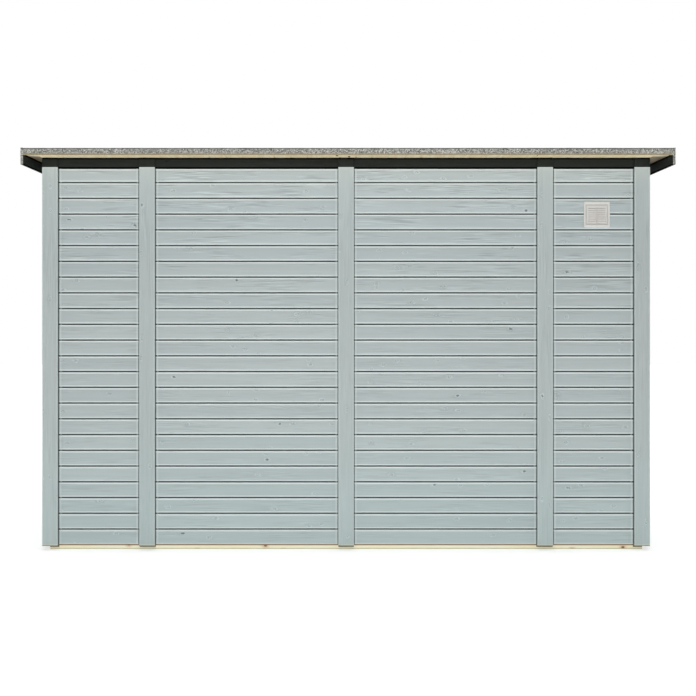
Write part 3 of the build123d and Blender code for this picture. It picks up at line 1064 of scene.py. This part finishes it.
def deckBoards():
    wideOne = (deckHigh.x - deckLow.x) / roof["boards"]
    under = deckLow.z
    high = (deckLow.x + wideOne - roof["deckGap"], deckHigh.y, under + deckThick)
    piece = addBlock("deck_boards", deckLow, high)
    easeEdges(piece, roof["vee"], lambda mid, way: mid.z < under + 0.001 and abs(way.y) > 0.5, 1)
    editing(piece, whole=True)
    for _ in range(roof["boards"] - 1):
        copyOn((wideOne, 0, 0))
    doneEditing()
    liftFront(piece, deckLow.y)
    return piece


def fasciaBoard(name, low, high):
    tall = deckUnder(low.y) - low.z + deckThick
    piece = addBlock(name, low, (high.x, high.y, low.z + tall))
    ease = roof["fasciaEase"]
    easeEdges(piece, ease, lambda mid, way: mid.z < low.z + 0.001 and abs(way.y) > 0.5)
    liftFront(piece, low.y)
    return piece


finishPiece(deckBoards(), deckTimber, ("roof_deck",), 20)
for key in ("left", "right"):
    fascia = fasciaBoard(key + "_fascia_board", *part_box(key + "_fascia"))
    finishPiece(fascia, darkPaint, (key + "_fascia",))


# The felt: three lengths lapped up the slope, with its edges turned down

def rippled(piece, strength, grainSize, level=0.5):
    # Slight unevenness of hand-laid felt.
    texture = bpy.data.textures.new("ripple", "CLOUDS")
    texture.noise_scale = grainSize
    makeActive(piece)
    ripple = piece.modifiers.new("ripple", "DISPLACE")
    ripple.texture = texture
    ripple.direction = "Z"
    ripple.strength = strength
    ripple.mid_level = level
    bpy.ops.object.modifier_apply(modifier=ripple.name)


def feltLength(y0, y1, first):
    top = deckLow.z + deckThick
    low = (feltLow.x + 0.001, y0, top)
    piece = addBlock("felt_length", low, (feltHigh.x - 0.001, y1, top + felt["thick"]))
    editing(piece, whole=True)
    bpy.ops.mesh.subdivide(number_cuts=1)
    doneEditing()
    makeActive(piece)
    finer = piece.modifiers.new("finer", "SUBSURF")
    finer.subdivision_type = "SIMPLE"
    finer.levels = felt["fineness"]
    finer.render_levels = felt["fineness"]
    bpy.ops.object.modifier_apply(modifier=finer.name)
    rippled(piece, *felt["ripple"])
    if not first:  # its lower edge lies on the length before it
        for point in piece.data.vertices:
            past = max(0.0, point.co.y - y0 - felt["lap"])
            point.co.z += felt["thick"] * max(0.0, 1.0 - past / felt["lapFades"])
    liftFront(piece, deckLow.y)
    return piece


feltDrip = deckLow.z - feltLow.z - (deckLow.y - feltLow.y) * slope


def feltEdge(outwardY):
    # The turned-down edge along an eave: an upright flange that runs on over the deck.
    face = feltHigh.y if outwardY > 0 else feltLow.y
    planes = sorted((face, face - outwardY * felt["skirt"]))
    under = deckUnder(face)
    top = under + deckThick
    low = (deckLow.x, planes[0], under - feltDrip)
    piece = addBlock("felt_edge", low, (deckHigh.x, planes[1], top + feltThick))
    editing(piece, whole=True)
    bpy.ops.mesh.bisect(plane_co=(0, 0, top), plane_no=(0, 0, 1))
    pickFaces(piece, lambda mid, normal: normal.y * outwardY < -0.9 and mid.z > top)
    reach = -outwardY * felt["overDeck"]
    pullOut((0, reach, reach * slope))
    doneEditing()

    def foldEdge(mid, way):
        return abs(mid.y - face) < 0.0005 and mid.z > top + 0.001 and abs(way.x) > 0.5

    easeEdges(piece, felt["fold"], foldEdge, 4)
    cutEdges(piece, lambda mid, way: abs(way.x) > 0.9, felt["edgeCuts"])
    rippled(piece, *felt["edgeRipple"], 1.0)
    return piece


def feltSkirt(name, low, high, sign):
    # The turned-down edge along a side, its ends folded in round the corners.
    skin = felt["skirt"]
    outerFace, innerFace = (high.x, low.x) if sign > 0 else (low.x, high.x)
    planes = sorted((outerFace, outerFace - sign * skin))
    top = deckUnder(low.y) + deckThick + feltThick
    piece = addBlock(name, (planes[0], low.y, low.z), (planes[1], high.y, top))
    y0 = low.y + skin
    y1 = high.y - skin
    editing(piece, whole=True)
    for cut in (y0, y1):
        bpy.ops.mesh.select_all(action="SELECT")
        bpy.ops.mesh.bisect(plane_co=(0, cut, 0), plane_no=(0, 1, 0))
    pickFaces(piece, lambda mid, normal: normal.x * sign < -0.9 and not y0 <= mid.y <= y1)
    pullOut((innerFace - outerFace + sign * skin, 0, 0))
    doneEditing()

    def outerEdge(mid, way):
        return abs(mid.x - outerFace) < 0.0005 and mid.z > low.z + 0.001

    easeEdges(piece, felt["skirtEase"], outerEdge)
    cutEdges(piece, lambda mid, way: abs(way.y) > 0.9, felt["skirtCuts"])
    liftFront(piece, low.y)
    return piece


lengths = []
for index in range(felt["sheets"]):
    y0 = feltLow.y + index * feltBare
    lengths.append(feltLength(y0, min(feltHigh.y, y0 + feltBare + felt["lap"]), index == 0))
feltTop = joinPieces(lengths, "felt_top")
feltSheet = joinPieces([feltTop, feltEdge(-1), feltEdge(1)], "felt_sheet")
finishPiece(feltSheet, mineralFelt, ("roofing_felt",))
for key, sign in (("left", -1), ("right", 1)):
    skirt = feltSkirt(key + "_skirt", *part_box(key + "_felt_skirt"), sign)
    finishPiece(skirt, mineralFelt, (key + "_felt_skirt",))
print("roof made")


# Clout nails: along each lap, and round the border of the roof

clouts = {
    "head": 0.011,
    "thick": 0.0030,
    "ease": 0.0007,
    "sunk": 0.0009,
    "step": 0.15,
    "fromSide": 0.03,
    "fromLow": 0.045,
    "fromHigh": 0.06,
    "fromLap": 0.028,
}


def cloutNails():
    model = addDisc("nail", 10, clouts["head"] / 2, clouts["thick"])
    easeEdges(model, clouts["ease"], lambda mid, way: mid.z > 0.001, 1)
    x0 = feltLow.x + clouts["fromSide"]
    x1 = feltHigh.x - clouts["fromSide"]
    rows = [feltLow.y + clouts["fromLow"], feltHigh.y - clouts["fromHigh"]]
    places = []
    lapRow = feltLow.y + clouts["fromLap"]
    laps = [lapRow + feltBare * index for index in range(1, felt["sheets"])]
    count = round((x1 - x0) / clouts["step"])
    for y in rows + laps:
        places += [(x0 + (x1 - x0) * index / count, y) for index in range(count + 1)]
    run = rows[1] - rows[0]
    sideCount = round(run / clouts["step"])
    for index in range(1, sideCount):
        places += [(x, rows[0] + run * index / sideCount) for x in (x0, x1)]
    nails = []
    for x, y in places:
        nail = model.copy()
        nail.data = model.data.copy()
        scene.collection.objects.link(nail)
        z = deckUnder(y) + deckThick + feltThick - clouts["sunk"]
        for point in nail.data.vertices:
            point.co += Vector((x, y, z + point.co.y * slope))
        nails.append(nail)
    bpy.data.objects.remove(model)
    return joinPieces(nails, "clout_nails")


nailZinc = plasticMaterial("nail_zinc", linear(150, 152, 152), linear(112, 112, 110))
finishPiece(cloutNails(), nailZinc)
print("nails driven")


# Floor frame
bearerLow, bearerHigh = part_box("floor_bearers")
bearers = {"wide": 0.045, "ease": 0.003}
for name, y0, replaced in (
    ("rear_bearer", bearerLow.y, ("floor_bearers",)),
    ("front_bearer", bearerHigh.y - bearers["wide"], ()),
):
    low = (bearerLow.x, y0, bearerLow.z)
    bearer = addBlock(name, low, (bearerHigh.x, y0 + bearers["wide"], bearerHigh.z))
    easeEdges(bearer, bearers["ease"], lambda mid, way: abs(way.x) > 0.5, 3)
    finishPiece(bearer, bearerTimber, replaced)

# The CAD nodes that stay get their finish
finishes = (
    (joistTimber, ("floor_joists", "left_wall_plates", "right_wall_plates")),
    (floorTimber, ("floor_boards",)),
    (plateTimber, ("rear_wall_plates", "front_wall_plates", "roof_purlins", "door_ledges")),
    (frameTimber, ("rear_wall_studs", "front_wall_studs", "left_wall_studs", "right_wall_studs")),
    (ventPlastic, ("vent_frame",)),
    (louvrePlastic, ("vent_louvres",)),
    (stripPaint, ("door_jambs",)),
    (levelPaint, ("door_head",)),
    (sillTimber, ("door_sill",)),
    (doorIron, ("door_hinges", "door_handle")),
)
for material, nodeNames in finishes:
    for nodeName in nodeNames:
        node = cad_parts[nodeName]
        if not node.material_slots:
            node.data.materials.append(material)
        for slot in node.material_slots:
            slot.material = material
print("frame finished")


# Camera, straight on to the rear wall

def setUp(name, data, place):
    thing = bpy.data.objects.new(name, data)
    scene.collection.objects.link(thing)
    thing.location = place
    return thing


camera = {"lens": 50.0, "film": 36.0, "distance": 5.60, "height": 1.172}
cameraData = bpy.data.cameras.new("camera")
cameraData.lens = camera["lens"]
cameraData.sensor_width = camera["film"]
cameraPlace = (0.0, stripLow.y - camera["distance"], camera["height"])
scene.camera = setUp("camera", cameraData, cameraPlace)
scene.camera.rotation_euler = (math.radians(90), 0, 0)

# Studio: a world that is white to the eye and dim as a light, a pale floor and five soft lamps

studio = {"world": 0.12, "floorSize": 120, "floorGlow": 0.40, "nearGlow": 0.11, "farGlow": 0.90}
lamps = {  # place, target, size, power
    "rear_lamp": ((-0.3, -7.0, 2.45), (0, -1.2, 1.2), 3.0, 127.0),
    "left_lamp": ((-9.0, 0.5, 2.6), (-1.8, 0, 1.2), 3.0, 190.0),
    "right_lamp": ((9.0, 0.5, 2.6), (1.8, 0, 1.2), 3.0, 190.0),
    "front_lamp": ((1.0, 9.0, 2.6), (0, 1.2, 1.2), 3.0, 250.0),
    "top_lamp": ((0.0, 0.0, 9.0), (0, 0, 0), 6.0, 620.0),
}
world = bpy.data.worlds.new("studio")
scene.world = world
world.use_nodes = True
world.node_tree.nodes.clear()
path = addNode("LightPath", {}, world.node_tree)
seen = mathNode("MAXIMUM", given(path, "Is Camera Ray"), given(path, "Is Glossy Ray"))
dim, bright = (
    given(addNode("Background", {"Color": white, "Strength": strength}, world.node_tree))
    for strength in (studio["world"], 1.0)
)
mixed = addNode("MixShader", {"Fac": seen, 1: dim, 2: bright})
addNode("OutputWorld", {"Surface": given(mixed)})

deselectAll()
bpy.ops.mesh.primitive_plane_add(size=studio["floorSize"], location=(0, 0, 0))
floor = bpy.context.object
floor.name = "studio_floor"
floorMaterial, floorShader, floorPlace = newMaterial("pale_floor")
floorTone = noiseNode(floorPlace, 0.8, 2.0)
away = given(addNode("VectorMath", {0: floorPlace}, operation="LENGTH"), "Value")
farGlow = rangeNode(away, 2.5, 9.0, studio["nearGlow"], studio["farGlow"])
cameraRay = given(addNode("LightPath", {}, floorPlace.tree), "Is Camera Ray")
feed(floorShader, {
    "Base Color": mixColor(floorTone, (0.80, 0.80, 0.80, 1), (0.83, 0.83, 0.83, 1)),
    "Roughness": 1.0,
    "Specular IOR Level": 0.0,
    "Emission Color": white,
    "Emission Strength": cameraRay * farGlow + studio["floorGlow"],
})
floor.data.materials.append(floorMaterial)

for name, (place, target, lampSize, power) in lamps.items():
    lampData = bpy.data.lights.new(name, "AREA")
    lampData.shape = "SQUARE"
    lampData.size = lampSize
    lampData.energy = power
    lamp = setUp(name, lampData, place)
    lamp.visible_camera = False
    lamp.rotation_euler = (Vector(target) - Vector(place)).to_track_quat("-Z", "Y").to_euler()
print("studio made")
